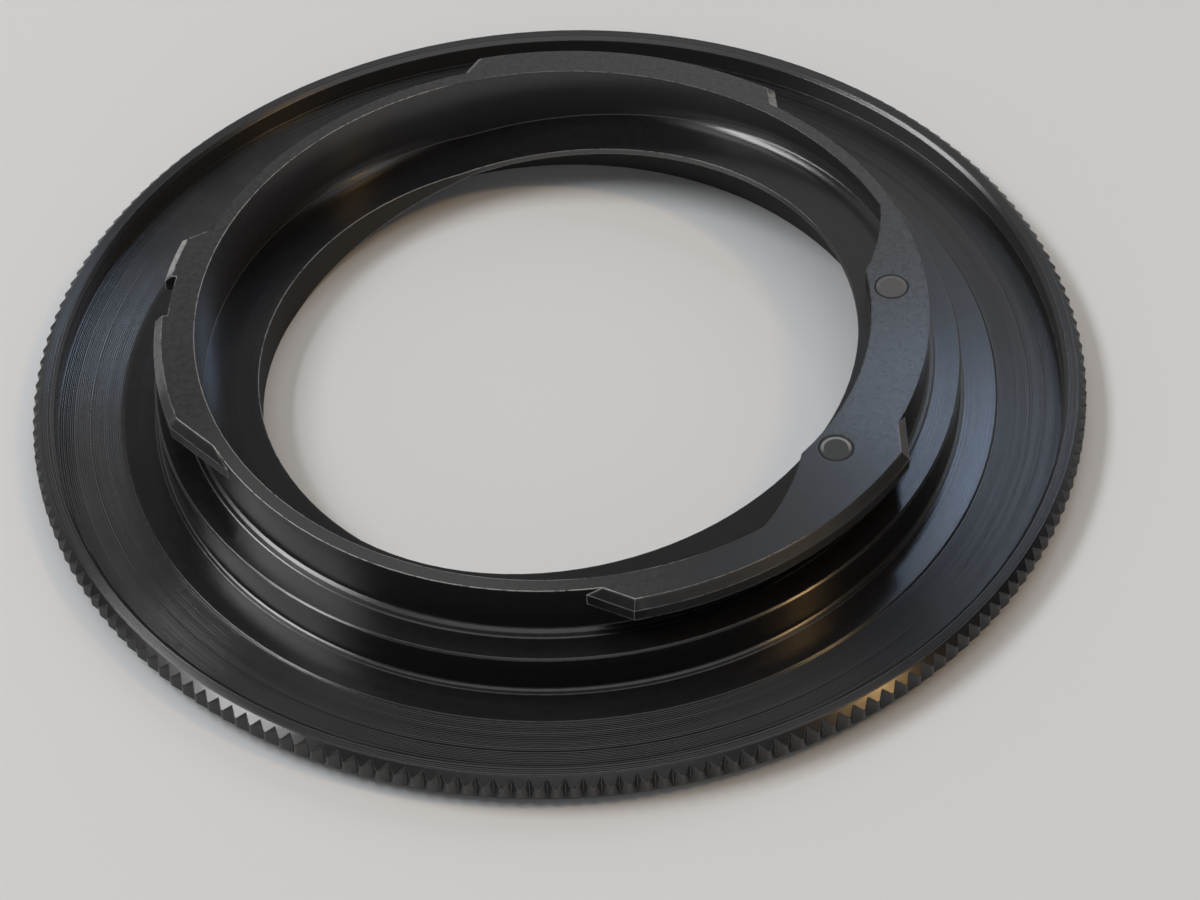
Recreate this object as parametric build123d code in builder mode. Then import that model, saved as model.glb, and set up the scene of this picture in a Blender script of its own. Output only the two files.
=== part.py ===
from build123d import *
from math import cos, hypot, radians, sin
import os

os.makedirs("parts", exist_ok=True)

full_turn = 360

# Radii, from the opening outwards, lengths in millimetres
opening_radius = 20.46
ledge_width = 3.82
hub_wall = 0.92
lug_reach = 1.85
shoulder_width = 2.25
pad_width = 2.48
field_width = 4.57
lip_flat = 0.92
rim_chamfer = 0.58

# Heights, from the underside upwards
rim_foot_rise = 1.2
crest_band = 0.87
field_height = 1.0
pad_rise = 0.12
shoulder_rise = 3.05
neck_rise = 4.03

# Broken edges and rounded roots of the turned profile
rim_foot_inset = 0.8
lip_break = 0.25
edge_break = 0.12
shoulder_root = 0.33
neck_root = 0.5
root_ease = 0.3

# Straight knurl around the rim
knurl_teeth = 200
knurl_depth = 0.45
knurl_tip_over = 0.06
knurl_crest_part = 0.5

# Recess inside the hub: a level ledge that runs into an inclined floor
ledge_depth = 5.12
floor_depth = 3.98
floor_grade = 0.1137
floor_rise_deg = -11.1

# Hollow under the inclined floor, which leaves a thin lip around the opening and a wedge on the left
hollow_reach = 2.84
lip_thick = 0.45
wedge_grade = 0.257
wedge_foot = 19.85

# Land left standing in the recess, with hollow ends
land_width = 2.98
land_hollow = 1.42
land_left_deg = 20.4
land_left_mid_deg = 12.9
land_left_in_deg = 5.7
land_right_deg = 301.6
land_right_mid_deg = 309.3
land_right_in_deg = 317.0

# Bayonet lugs: directions in degrees where each leaves the neck and reaches its full radius
lug_thick = 1.4
lug_bevel = 0.55
far_lug_deg = (49.2, 52.8, 100.3, 104.4)
left_lug_deg = (156.2, 160.7, 199.2, 211.2)
near_lug_deg = (273.0, 279.0, 326.4, 333.6)

# Notch for the locking pin in the left lug
notch_floor = 0.95
notch_from_deg = 169.3
notch_to_deg = 177.6

# Pins set flush into the land
pin_radius = 1.15
pin_fit = 0.02
pin_length = 1.4
pin_tip = 0.15
pin_inset = 1.5
pin_left_deg = 1.1
pin_right_deg = 321.5

# Derived values
hollow_radius = opening_radius + hollow_reach
recess_radius = opening_radius + ledge_width
neck_radius = recess_radius + hub_wall
lug_radius = neck_radius + lug_reach
lug_root_radius = recess_radius - hub_wall
shoulder_radius = neck_radius + shoulder_width
pad_radius = shoulder_radius + pad_width
lip_radius = pad_radius + field_width
rim_radius = lip_radius + lip_flat + rim_chamfer
land_radius = recess_radius - land_width
land_hollow_radius = recess_radius - land_hollow
notch_radius = neck_radius + notch_floor
notch_far_radius = lug_radius + lug_thick
pin_circle_radius = recess_radius - pin_inset
crest_top = rim_foot_rise + crest_band
rim_top = crest_top + rim_chamfer
pad_top = field_height + pad_rise
shoulder_top = pad_top + shoulder_rise
hub_top = shoulder_top + neck_rise
lug_low = hub_top - lug_thick
pin_low = hub_top - pin_length
tooth_deg = full_turn / knurl_teeth
rise_x = cos(radians(floor_rise_deg))
rise_y = sin(radians(floor_rise_deg))
floor_normal = (-floor_grade * rise_x, -floor_grade * rise_y, 1)
wedge_normal = (-wedge_grade * rise_x, -wedge_grade * rise_y, 1)
floor_plane = Plane(origin=(0, 0, hub_top - floor_depth), z_dir=floor_normal)
lip_plane = Plane(origin=(0, 0, hub_top - floor_depth - lip_thick), z_dir=floor_normal)
wedge_plane = Plane(origin=(-wedge_foot * rise_x, -wedge_foot * rise_y, 0), z_dir=wedge_normal)


def polar(radius, direction):
    return (radius * cos(radians(direction)), radius * sin(radians(direction)))


def rim_arc(radius, start, end):
    return ThreePointArc(polar(radius, start), polar(radius, (start + end) / 2), polar(radius, end))


def beyond_neck(edge):
    return hypot(edge.center().X, edge.center().Y) > neck_radius + edge_break


# Body: flange, shoulder, neck, lugs and land turned and milled from one piece
with BuildPart() as body:
    with BuildSketch(Plane.XZ):
        with BuildLine():
            Polyline(
                (opening_radius, 0),
                (rim_radius - rim_foot_inset, 0),
                (rim_radius, rim_foot_rise),
                (rim_radius, crest_top),
                (rim_radius - rim_chamfer, rim_top),
                (lip_radius + lip_break, rim_top),
                (lip_radius, rim_top - lip_break),
                (lip_radius, field_height),
                (pad_radius + pad_rise, field_height),
                (pad_radius, pad_top),
                (shoulder_radius + shoulder_root, pad_top),
                (shoulder_radius + shoulder_root * root_ease, pad_top + shoulder_root * root_ease),
                (shoulder_radius, pad_top + shoulder_root),
                (shoulder_radius, shoulder_top - edge_break),
                (shoulder_radius - edge_break, shoulder_top),
                (neck_radius + neck_root, shoulder_top),
                (neck_radius + neck_root * root_ease, shoulder_top + neck_root * root_ease),
                (neck_radius, shoulder_top + neck_root),
                (neck_radius, hub_top),
                (opening_radius, hub_top),
                close=True,
            )
        make_face()
    revolve(axis=Axis.Z)

    # Lugs at the top of the neck, with a worn bevel along their upper edges
    with BuildSketch(Plane.XY.offset(lug_low)):
        for base_a, full_a, full_b, base_b in (far_lug_deg, left_lug_deg, near_lug_deg):
            with BuildLine():
                Line(polar(lug_root_radius, base_a), polar(neck_radius, base_a))
                Line(polar(neck_radius, base_a), polar(lug_radius, full_a))
                rim_arc(lug_radius, full_a, full_b)
                Line(polar(lug_radius, full_b), polar(neck_radius, base_b))
                Line(polar(neck_radius, base_b), polar(lug_root_radius, base_b))
                rim_arc(lug_root_radius, base_b, base_a)
            make_face()
    extrude(amount=lug_thick)
    top_edges = body.faces().filter_by(Axis.Z).sort_by(Axis.Z)[-1].outer_wire().edges()
    chamfer(top_edges.filter_by(beyond_neck), length=lug_bevel)

    # Notch in the left lug
    with BuildSketch(Plane.XY.offset(hub_top)):
        with BuildLine():
            rim_arc(notch_radius, notch_from_deg, notch_to_deg)
            Line(polar(notch_radius, notch_to_deg), polar(notch_far_radius, notch_to_deg))
            rim_arc(notch_far_radius, notch_to_deg, notch_from_deg)
            Line(polar(notch_far_radius, notch_from_deg), polar(notch_radius, notch_from_deg))
        make_face()
    extrude(amount=-lug_thick, mode=Mode.SUBTRACT)

    # Recess down to the level ledge and the inclined floor, leaving the land
    with BuildSketch(Plane.XY.offset(hub_top)):
        Circle(recess_radius)
        with BuildLine():
            ThreePointArc(
                polar(recess_radius, land_left_deg),
                polar(land_hollow_radius, land_left_mid_deg),
                polar(land_radius, land_left_in_deg),
            )
            rim_arc(land_radius, land_left_in_deg + full_turn, land_right_in_deg)
            ThreePointArc(
                polar(land_radius, land_right_in_deg),
                polar(land_hollow_radius, land_right_mid_deg),
                polar(recess_radius, land_right_deg),
            )
            Line(polar(recess_radius, land_right_deg), polar(neck_radius, land_right_deg))
            rim_arc(neck_radius, land_right_deg, land_left_deg + full_turn)
            Line(polar(neck_radius, land_left_deg), polar(recess_radius, land_left_deg))
        make_face(mode=Mode.SUBTRACT)
    recess = extrude(amount=-ledge_depth, mode=Mode.PRIVATE)
    add(split(recess, bisect_by=floor_plane, keep=Keep.TOP, mode=Mode.PRIVATE), mode=Mode.SUBTRACT)

    # Hollow below the lip, shallower towards the wedge
    with BuildSketch(Plane.XY):
        Circle(hollow_radius)
    hollow = extrude(amount=hub_top, mode=Mode.PRIVATE)
    below_lip = split(hollow, bisect_by=lip_plane, keep=Keep.BOTTOM, mode=Mode.PRIVATE)
    add(split(below_lip, bisect_by=wedge_plane, keep=Keep.BOTTOM, mode=Mode.PRIVATE), mode=Mode.SUBTRACT)

    # Blind holes for the pins
    with BuildSketch(Plane.XY.offset(hub_top)):
        with Locations(polar(pin_circle_radius, pin_left_deg), polar(pin_circle_radius, pin_right_deg)):
            Circle(pin_radius + pin_fit)
    extrude(amount=-pin_length, mode=Mode.SUBTRACT)

    # Vee grooves of the knurl, running out into the chamfers of the rim
    with BuildSketch(Plane.XY):
        with BuildLine():
            Polyline(
                *[
                    polar(radius, tooth_deg * (tooth + part))
                    for tooth in range(knurl_teeth)
                    for radius, part in (
                        (rim_radius + knurl_tip_over, 0),
                        (rim_radius - knurl_depth, knurl_crest_part),
                    )
                ],
                close=True,
            )
        make_face()
    extrude(amount=hub_top, mode=Mode.INTERSECT)

# Pins: one block each, dropped into the holes with their tips down
with BuildPart() as pin_a:
    with BuildSketch(Plane.XY.offset(pin_low)):
        with Locations(polar(pin_circle_radius, pin_left_deg)):
            Circle(pin_radius)
    extrude(amount=pin_length)
    chamfer(pin_a.edges().sort_by(Axis.Z)[0], pin_tip)

with BuildPart() as pin_b:
    with BuildSketch(Plane.XY.offset(pin_low)):
        with Locations(polar(pin_circle_radius, pin_right_deg)):
            Circle(pin_radius)
    extrude(amount=pin_length)
    chamfer(pin_b.edges().sort_by(Axis.Z)[0], pin_tip)

body.part.label = "body"
pin_a.part.label = "pin_a"
pin_b.part.label = "pin_b"
export_step(body.part, "parts/body.step")
export_step(pin_a.part, "parts/pin_a.step")
export_step(pin_b.part, "parts/pin_b.step")
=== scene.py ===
import bpy
from math import cos, degrees, radians, sin, tau
from mathutils import Matrix, Vector


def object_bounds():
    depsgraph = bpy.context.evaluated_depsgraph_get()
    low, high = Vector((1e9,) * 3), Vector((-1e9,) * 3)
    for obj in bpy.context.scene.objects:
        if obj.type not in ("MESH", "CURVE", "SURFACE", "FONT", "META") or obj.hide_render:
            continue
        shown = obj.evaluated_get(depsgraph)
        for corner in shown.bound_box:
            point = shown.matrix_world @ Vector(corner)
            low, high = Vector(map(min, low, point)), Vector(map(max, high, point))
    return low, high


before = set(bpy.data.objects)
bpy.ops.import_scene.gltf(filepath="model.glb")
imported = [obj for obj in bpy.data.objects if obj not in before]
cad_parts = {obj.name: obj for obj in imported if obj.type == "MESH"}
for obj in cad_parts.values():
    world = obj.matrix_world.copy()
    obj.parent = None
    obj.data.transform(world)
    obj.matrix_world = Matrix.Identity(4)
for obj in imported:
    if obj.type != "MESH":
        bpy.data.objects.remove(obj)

cad_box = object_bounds()
scene = bpy.context.scene
MM = 1000

# Radii of the turned profile in millimetres, from the axis outwards
opening = 20.46
hollow = 23.3
recess = 24.28
neck = 25.20
lug = 27.05
shoulder = 27.45
pad = 29.93
lip_inner = 34.5
rim_chamfer = 0.58
lip_outer = cad_box[1][0] * MM - rim_chamfer

# Heights of the turned profile in millimetres, from the underside upwards
field_height = 1.0
pad_top = 1.12
crest_top = 2.07
lip_top = 2.65
shoulder_top = 4.17
lug_low = 6.8
hub_top = cad_box[1][2] * MM

# Floor of the recess: level ledge, and the inclined plane that it runs into
ledge_height = 3.08
floor_height = 4.22
floor_grade_x = 0.1116
floor_grade_y = -0.0219

# Camera, fitted to the turned edges in the photograph
right = Vector((0.998775, -0.036099, -0.033836))
down = Vector((-0.049477, -0.728707, -0.683036))
ahead = Vector((0.0, 0.683873, -0.729601))
place = Vector((2.59883, -168.26241, 173.49664)) / MM
cam_data = bpy.data.cameras.new("camera")
cam_data.sensor_width = 36
cam_data.lens = 105
cam_data.clip_start = 0.01
cam = bpy.data.objects.new("camera", cam_data)
scene.collection.objects.link(cam)
axes = Matrix((right, -down, -ahead)).transposed().to_4x4()
cam.matrix_world = Matrix.Translation(place) @ axes
scene.camera = cam


class Net:
    """Short names for the nodes of one tree."""

    def __init__(self, tree):
        self.tree = tree

    def node(self, kind, **props):
        made = self.tree.nodes.new(kind)
        for key, value in props.items():
            setattr(made, key, value)
        return made

    def put(self, socket, value):
        if isinstance(value, bpy.types.NodeSocket):
            self.tree.links.new(value, socket)
        else:
            socket.default_value = value

    def math(self, op, *values):
        made = self.node("ShaderNodeMath", operation=op)
        for socket, value in zip(made.inputs, values):
            self.put(socket, value)
        return made.outputs[0]

    def add(self, *values):
        total = values[0]
        for value in values[1:]:
            total = self.math("ADD", total, value)
        return total

    def times(self, *values):
        total = values[0]
        for value in values[1:]:
            total = self.math("MULTIPLY", total, value)
        return total

    def less(self, first, second):
        return self.math("SUBTRACT", first, second)

    def vector(self, op, *values):
        made = self.node("ShaderNodeVectorMath", operation=op)
        for socket, value in zip(made.inputs, values):
            self.put(socket, value)
        return made.outputs["Value" if op in ("LENGTH", "DOT_PRODUCT") else "Vector"]

    def split(self, vector):
        made = self.node("ShaderNodeSeparateXYZ")
        self.put(made.inputs[0], vector)
        return made.outputs

    def join(self, *values):
        made = self.node("ShaderNodeCombineXYZ")
        for socket, value in zip(made.inputs, values):
            self.put(socket, value)
        return made.outputs[0]

    def step(self, value, low, high):
        """Rise from 0 at low to 1 at high; low may be the larger one."""
        made = self.node("ShaderNodeMapRange", interpolation_type="SMOOTHSTEP")
        self.put(made.inputs["Value"], value)
        self.put(made.inputs["From Min"], low)
        self.put(made.inputs["From Max"], high)
        return made.outputs["Result"]

    def span(self, value, low, high, soft):
        """1 between low and high, 0 outside, with soft ends."""
        rise = self.step(value, low - soft, low + soft)
        fall = self.step(value, high + soft, high - soft)
        return self.times(rise, fall)

    def blend(self, factor, first, second):
        made = self.node("ShaderNodeMix", data_type="RGBA")
        self.put(made.inputs[0], factor)
        self.put(made.inputs[6], first)
        self.put(made.inputs[7], second)
        return made.outputs[2]

    def noise(self, scale, detail=3.0, rough=0.6, at=None, line=None):
        made = self.node("ShaderNodeTexNoise", noise_dimensions="1D" if line is not None else "3D")
        made.inputs["Scale"].default_value = scale
        made.inputs["Detail"].default_value = detail
        made.inputs["Roughness"].default_value = rough
        if line is not None:
            self.put(made.inputs["W"], line)
        elif at is not None:
            self.put(made.inputs["Vector"], at)
        return made.outputs[0]


def material(name):
    mat = bpy.data.materials.new(name)
    mat.use_nodes = True
    return mat, Net(mat.node_tree), mat.node_tree.nodes["Principled BSDF"].inputs


def place_mm(net):
    geo = net.node("ShaderNodeNewGeometry")
    return geo, net.vector("MULTIPLY", geo.outputs["Position"], (MM, MM, MM))


def way(az, el):
    """Direction from its angle around the axis and its angle over the floor, in degrees."""
    flat = cos(radians(el))
    return Vector((cos(radians(az)) * flat, sin(radians(az)) * flat, sin(radians(el))))


# Black anodised metal of the ring: place in millimetres, and degrees around the axis from 0 to 360
body_mat, net, out = material("black_metal")
geo, mm = place_mm(net)
x, y, z = net.split(mm)
r = net.vector("LENGTH", net.join(x, y))
turn = net.math("ARCTAN2", net.times(y, -1.0), net.times(x, -1.0))
az = net.add(net.times(turn, degrees(1)), 180.0)
along = net.add(r, z)
fine = net.noise(5.0, 5.0, 0.8, line=along)
broad = net.noise(1.1, 3.0, 0.6, line=along)
patch = net.noise(0.22, 4.0, 0.6, at=mm)
grain = net.noise(2.2, 4.0, 0.65, at=mm)
speckle = net.step(grain, 0.3, 0.7)

# Zones of the turned profile
inclined = net.add(net.times(x, floor_grade_x), net.times(y, floor_grade_y), floor_height)
over_floor = net.less(z, net.math("MAXIMUM", inclined, ledge_height))
to_wall = net.less(recess, r)
top = net.step(z, hub_top - 0.15, hub_top - 0.05)
field = net.times(
    net.span(r, pad + 0.19, lip_inner - 0.08, 0.05),
    net.step(z, pad_top + 0.23, pad_top + 0.03),
)
lip = net.times(
    net.span(r, lip_inner + 0.3, lip_outer - 0.02, 0.03),
    net.step(z, lip_top - 0.15, lip_top - 0.05),
)
lip_wall = net.times(
    net.span(r, lip_inner - 0.1, lip_inner + 0.1, 0.05),
    net.span(z, field_height + 0.02, lip_top - 0.27, 0.02),
)
wall = net.times(
    net.span(r, recess - 0.08, recess + 0.12, 0.05),
    net.step(z, hub_top - 0.05, hub_top - 0.2),
    net.step(over_floor, -0.1, 0.0),
)
ledge = net.times(
    net.span(r, opening + 0.04, recess - 0.04, 0.03),
    net.span(over_floor, -0.08, 0.08, 0.05),
)
bore = net.times(
    net.step(r, hollow + 0.3, hollow - 0.1),
    net.step(over_floor, -0.03, -0.08),
)
lug_bevel = net.times(
    net.step(r, neck + 0.04, neck + 0.10),
    net.step(z, lug_low - 0.1, lug_low),
    net.step(z, hub_top - 0.03, hub_top - 0.08),
)

# Stretches around the axis, in degrees, that look unlike the rest of their zone
lit_root = net.add(net.span(az, 18, 64, 16), net.span(az, 118, 134, 14))
dark_lug_ends = net.add(net.span(az, 198.5, 213, 1.0), net.span(az, 271, 280.5, 1.0))
dark_bore = net.span(az, 115, 235, 10)
# Bare metal low on the far side of the bore, partly painted reflection: the paper it mirrors is painted into
# its pale tone
pale_bore = net.times(net.span(az, 42, 104, 8), net.step(over_floor, -0.5, -0.4))
# Painted reflection: stretch of the field that is painted lighter for reflections the lamps do not give
field_sheen_stretch = net.span(az, 112, 240, 18)
# Painted highlight: near-left stretch of the hub top painted paler where the left lamp glints
hub_highlight_stretch = net.span(az, 208, 268, 12)
# Painted shade: near-right stretch of the hub top painted darker
hub_shade_stretch = net.span(az, 284, 325, 8)

# Tool marks: waves across the radius, as slopes of the shading normal
waves_per_mm = 7.321
wave_drift = 12.0
field_slope = 0.27
lip_slope = 0.40
root_width = 1.3
root_slope = 0.8
mark = net.math("SINE", net.add(net.times(r, waves_per_mm * tau), net.times(broad, wave_drift)))
slope = net.times(mark, net.add(net.times(field, field_slope), net.times(lip, lip_slope)))
slope = net.less(slope, net.times(ledge, lit_root, net.step(to_wall, root_width, 0.0), root_slope))

# Rounded edges and roots: how far the shading normal leans up
crown = net.times(
    net.step(r, lip_outer - 0.04, lip_outer + 0.04),
    net.step(z, crest_top - 0.12, crest_top + 0.08),
    0.42,
)
lip_edge = net.times(
    net.span(r, lip_inner - 0.03, lip_inner + 0.26, 0.03),
    net.step(z, lip_top - 0.35, lip_top - 0.25),
    0.5,
)
shoulder_edge = net.times(
    net.span(r, shoulder - 0.13, shoulder + 0.01, 0.02),
    net.step(z, shoulder_top - 0.17, shoulder_top - 0.11),
    0.42,
)
pad_edge = net.times(
    net.span(r, pad + 0.01, pad + 0.13, 0.02),
    net.step(z, field_height + 0.02, field_height + 0.06),
    0.35,
)
neck_root = net.times(
    net.span(r, neck + 0.02, neck + 0.38, 0.03),
    net.span(z, shoulder_top + 0.02, shoulder_top + 0.55, 0.02),
    1.5,
)
shoulder_root = net.times(
    net.span(r, shoulder + 0.02, shoulder + 0.27, 0.03),
    net.span(z, pad_top + 0.02, pad_top + 0.34, 0.02),
    1.5,
)
recess_root = net.times(wall, lit_root, net.step(over_floor, root_width, 0.0), 0.9)
opening_wall = net.times(bore, dark_bore, 0.8)
lug_ends = net.times(lug_bevel, dark_lug_ends, -0.6)
lift = net.add(
    crown,
    lip_edge,
    shoulder_edge,
    pad_edge,
    neck_root,
    shoulder_root,
    recess_root,
    opening_wall,
    lug_ends,
)

# Shading normal: softened edges, then the slopes above, then fine turning lines
edge = net.node("ShaderNodeBevel", samples=6)
edge.inputs["Radius"].default_value = 0.1 / MM
outwards = net.math("DIVIDE", slope, r)
tilt = net.join(net.times(x, outwards), net.times(y, outwards), lift)
normal = net.vector("NORMALIZE", net.vector("ADD", edge.outputs[0], tilt))
bump = net.node("ShaderNodeBump")
bump.inputs["Strength"].default_value = 0.25
bump.inputs["Distance"].default_value = 0.02 / MM
net.put(bump.inputs["Height"], fine)
net.put(bump.inputs["Normal"], normal)
net.put(out["Normal"], bump.outputs[0])

# Pale edges, partly wear and partly painted highlight where the edges catch the lamps: each row has the inner
# and outer radius, the stretch in degrees, the amount and the softness
recess_edge = (recess - 0.33, recess + 0.32)
hub_edge = (neck - 0.3, neck + 0.3)
lug_end = (neck, lug + 0.15)
lug_edge = (neck + 0.3, lug + 0.15)
opening_edge = (opening - 0.26, opening + 0.34)
high_rows = (
    (recess_edge, 108, 228, 0.8, 3.0),
    (recess_edge, 60, 100, 0.25, 3.0),
    (recess_edge, 228, 250, 0.3, 3.0),
    (recess_edge, 252, 273, 0.35, 3.0),
    (recess_edge, 280, 289, 0.35, 3.0),
    (hub_edge, 204, 279, 0.9, 3.0),
    (lug_end, 46, 54, 0.7, 1.0),
    (lug_edge, 155, 170, 1.0, 3.0),
    (lug_edge, 176, 194, 0.5, 3.0),
    (lug_edge, 197, 213, 0.85, 3.0),
    (lug_end, 270, 281, 0.95, 1.0),
    (lug_end, 281, 302, 0.35, 3.0),
    (lug_end, 325, 335, 0.6, 3.0),
)
low_rows = (
    (opening_edge, 100, 205, 0.6, 3.0),
    (opening_edge, 26, 100, 0.3, 3.0),
)


def wear_and_glint_ring(radii, az_low, az_high, amount, soft):
    ring = net.span(r, radii[0], radii[1], 0.05)
    return net.times(ring, net.span(az, az_low, az_high, soft), amount)


facing = net.vector("DOT_PRODUCT", edge.outputs[0], geo.outputs["Normal"])
sharp = net.step(facing, 0.992, 0.92)
all_over = 0.05
high_wear_and_glint = net.times(
    net.step(z, lug_low - 0.3, lug_low - 0.1),
    net.add(*[wear_and_glint_ring(*row) for row in high_rows]),
)
low_wear_and_glint = net.times(
    net.step(z, hub_top - 0.3, hub_top - 0.7),
    net.add(*[wear_and_glint_ring(*row) for row in low_rows]),
)
scuffs = net.add(
    net.times(net.span(az, 157.5, 168.5, 0.8), 0.40),
    net.times(net.span(az, 178.5, 192, 2.0), 0.10),
    net.times(net.span(az, 49.5, 52.5, 0.5), 0.35),
)
wear_and_glint = net.add(
    net.times(sharp, net.add(high_wear_and_glint, low_wear_and_glint, all_over)),
    net.times(lug_bevel, scuffs),
)
wear_and_glint = net.math("MINIMUM", net.times(wear_and_glint, net.step(grain, 0.30, 0.52)), 1.0)

# Colours of the ring, zone by zone
tone = net.blend(speckle, (0.0075, 0.0075, 0.0085, 1), (0.0115, 0.0115, 0.012, 1))
# Painted reflection: the field is painted paler in patches over that stretch, in place of reflected light
field_sheen = net.times(field, field_sheen_stretch, net.step(patch, 0.2, 0.6))
tone = net.blend(field_sheen, tone, (0.024, 0.024, 0.0245, 1))
hub_tone = net.blend(speckle, (0.020, 0.020, 0.020, 1), (0.036, 0.036, 0.035, 1))
# Painted highlight and painted shade on the hub top, over its own greyer worn tone
hub_tone = net.blend(hub_highlight_stretch, hub_tone, (0.055, 0.055, 0.055, 1))
hub_tone = net.blend(hub_shade_stretch, hub_tone, (0.016, 0.016, 0.016, 1))
tone = net.blend(top, tone, hub_tone)
# Painted light: the recess wall is painted paler to stand in for light bounced onto it
tone = net.blend(wall, tone, (0.032, 0.032, 0.034, 1))
# Painted reflection: the inner wall of the lip is painted paler in place of its reflected highlight
tone = net.blend(lip_wall, tone, (0.05, 0.05, 0.051, 1))
# Far side of the bore below the floor: bare metal, with the reflected paper painted into its pale tone
bore_tone = net.blend(pale_bore, (0.012, 0.012, 0.012, 1), (0.09, 0.088, 0.082, 1))
tone = net.blend(bore, tone, bore_tone)
# Pale edges: wear, and painted highlight on the edges that face the lamps
tone = net.blend(wear_and_glint, tone, (0.78, 0.77, 0.75, 1))
net.put(out["Base Color"], tone)

# Satin gloss, drawn out across the turning lines
rough = net.add(
    0.135,
    net.times(broad, 0.06),
    net.times(patch, 0.06),
    net.times(top, 0.03),
    net.times(bore, 0.5),
    net.times(lug_bevel, 0.15),
    net.times(wear_and_glint, 0.2),
)
net.put(out["Roughness"], rough)
out["IOR"].default_value = 1.62
out["Anisotropic"].default_value = 0.6
out["Anisotropic Rotation"].default_value = 0.25
turned = net.node("ShaderNodeTangent", direction_type="RADIAL", axis="Z")
net.put(out["Tangent"], turned.outputs[0])


def pin_metal(name, light, dark, ring):
    """Dulled steel of one pin, with a dark outline and part of a pale ring."""
    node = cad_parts[name]
    corners = [node.matrix_world @ Vector(corner) * MM for corner in node.bound_box]
    centre = sum(corners, Vector()) / len(corners)
    centre.z = hub_top
    mat, net, out = material(name + "_metal")
    mm = place_mm(net)[1]
    away = net.vector("SUBTRACT", mm, centre)
    apart = net.vector("LENGTH", away)
    grain = net.noise(3.0, 4.0, 0.65, at=mm)
    tone = net.blend(grain, dark, light)
    far_half = net.step(net.split(away)["Y"], -0.5, 0.3)
    pale = net.times(net.span(apart, 0.80, 0.98, 0.05), far_half, ring)
    tone = net.blend(pale, tone, (0.30, 0.30, 0.29, 1))
    tone = net.blend(net.step(apart, 1.0, 1.09), tone, (0.006, 0.006, 0.006, 1))
    net.put(out["Base Color"], tone)
    out["Metallic"].default_value = 0.3
    net.put(out["Roughness"], net.add(net.times(grain, 0.2), 0.4))
    return mat


finish = {
    "body": body_mat,
    "pin_a": pin_metal("pin_a", (0.12, 0.115, 0.11, 1), (0.07, 0.068, 0.066, 1), 0.15),
    "pin_b": pin_metal("pin_b", (0.06, 0.062, 0.06, 1), (0.03, 0.031, 0.03, 1), 0.8),
}
for name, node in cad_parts.items():
    node.data.materials.clear()
    node.data.materials.append(finish[name])

# Pale paper under the ring
bpy.ops.mesh.primitive_plane_add(size=6, location=(0, 0, -0.02 / MM))
floor = bpy.context.object
floor.name = "floor"
paper_mat, paper, paper_out = material("paper")
paper_grain = paper.noise(60.0, 3.0, 0.6)
paper_tone = paper.blend(paper_grain, (0.725, 0.735, 0.742, 1), (0.74, 0.75, 0.757, 1))
paper.put(paper_out["Base Color"], paper_tone)
paper_out["Roughness"].default_value = 0.85
paper_out["Specular IOR Level"].default_value = 0.1
floor.data.materials.append(paper_mat)


def lamp(name, az, el, size, watts, colour):
    """Soft light one metre away, aimed at the ring."""
    data = bpy.data.lights.new(name, "AREA")
    data.shape = "RECTANGLE"
    data.size, data.size_y = size
    data.energy = watts
    data.color = colour
    obj = bpy.data.objects.new(name, data)
    scene.collection.objects.link(obj)
    obj.location = way(az, el)
    obj.rotation_euler = (-way(az, el)).to_track_quat("-Z", "Y").to_euler()


lamp("left", 174, 51, (0.60, 0.22), 4.45, (0.985, 0.99, 1.0))
lamp("right", -15, 55, (0.07, 0.16), 1.15, (1.0, 0.62, 0.26))
lamp("far", 72, 48, (0.12, 0.12), 0.42, (0.52, 0.70, 1.0))

# Room: light overhead, a pale band low over the far and the near side, a glow at the far side, dark elsewhere
world = bpy.data.worlds.new("world")
scene.world = world
world.use_nodes = True
background = world.node_tree.nodes["Background"].inputs
sky = Net(world.node_tree)
view_way = sky.node("ShaderNodeTexCoord").outputs["Generated"]
depth, rise = sky.split(view_way)[1:]
base = 0.05
overhead = sky.times(sky.step(rise, 0.86, 0.94), 1.05)
horizon = sky.step(rise, 0.02, 0.15)
far_band = sky.times(horizon, sky.step(rise, 0.73, 0.60), sky.step(depth, 0.2, 0.5), 0.42)
near_band = sky.times(horizon, sky.step(rise, 0.65, 0.45), sky.step(depth, -0.1, -0.4), 0.45)
to_glow = sky.vector("DOT_PRODUCT", view_way, way(70, 38))
glow = sky.times(sky.step(to_glow, 0.92, 0.99), 0.45)
sky.put(background["Color"], (1.0, 1.0, 1.0, 1))
sky.put(background["Strength"], sky.add(overhead, far_band, near_band, glow, base))
scene.view_settings.view_transform = "Standard"
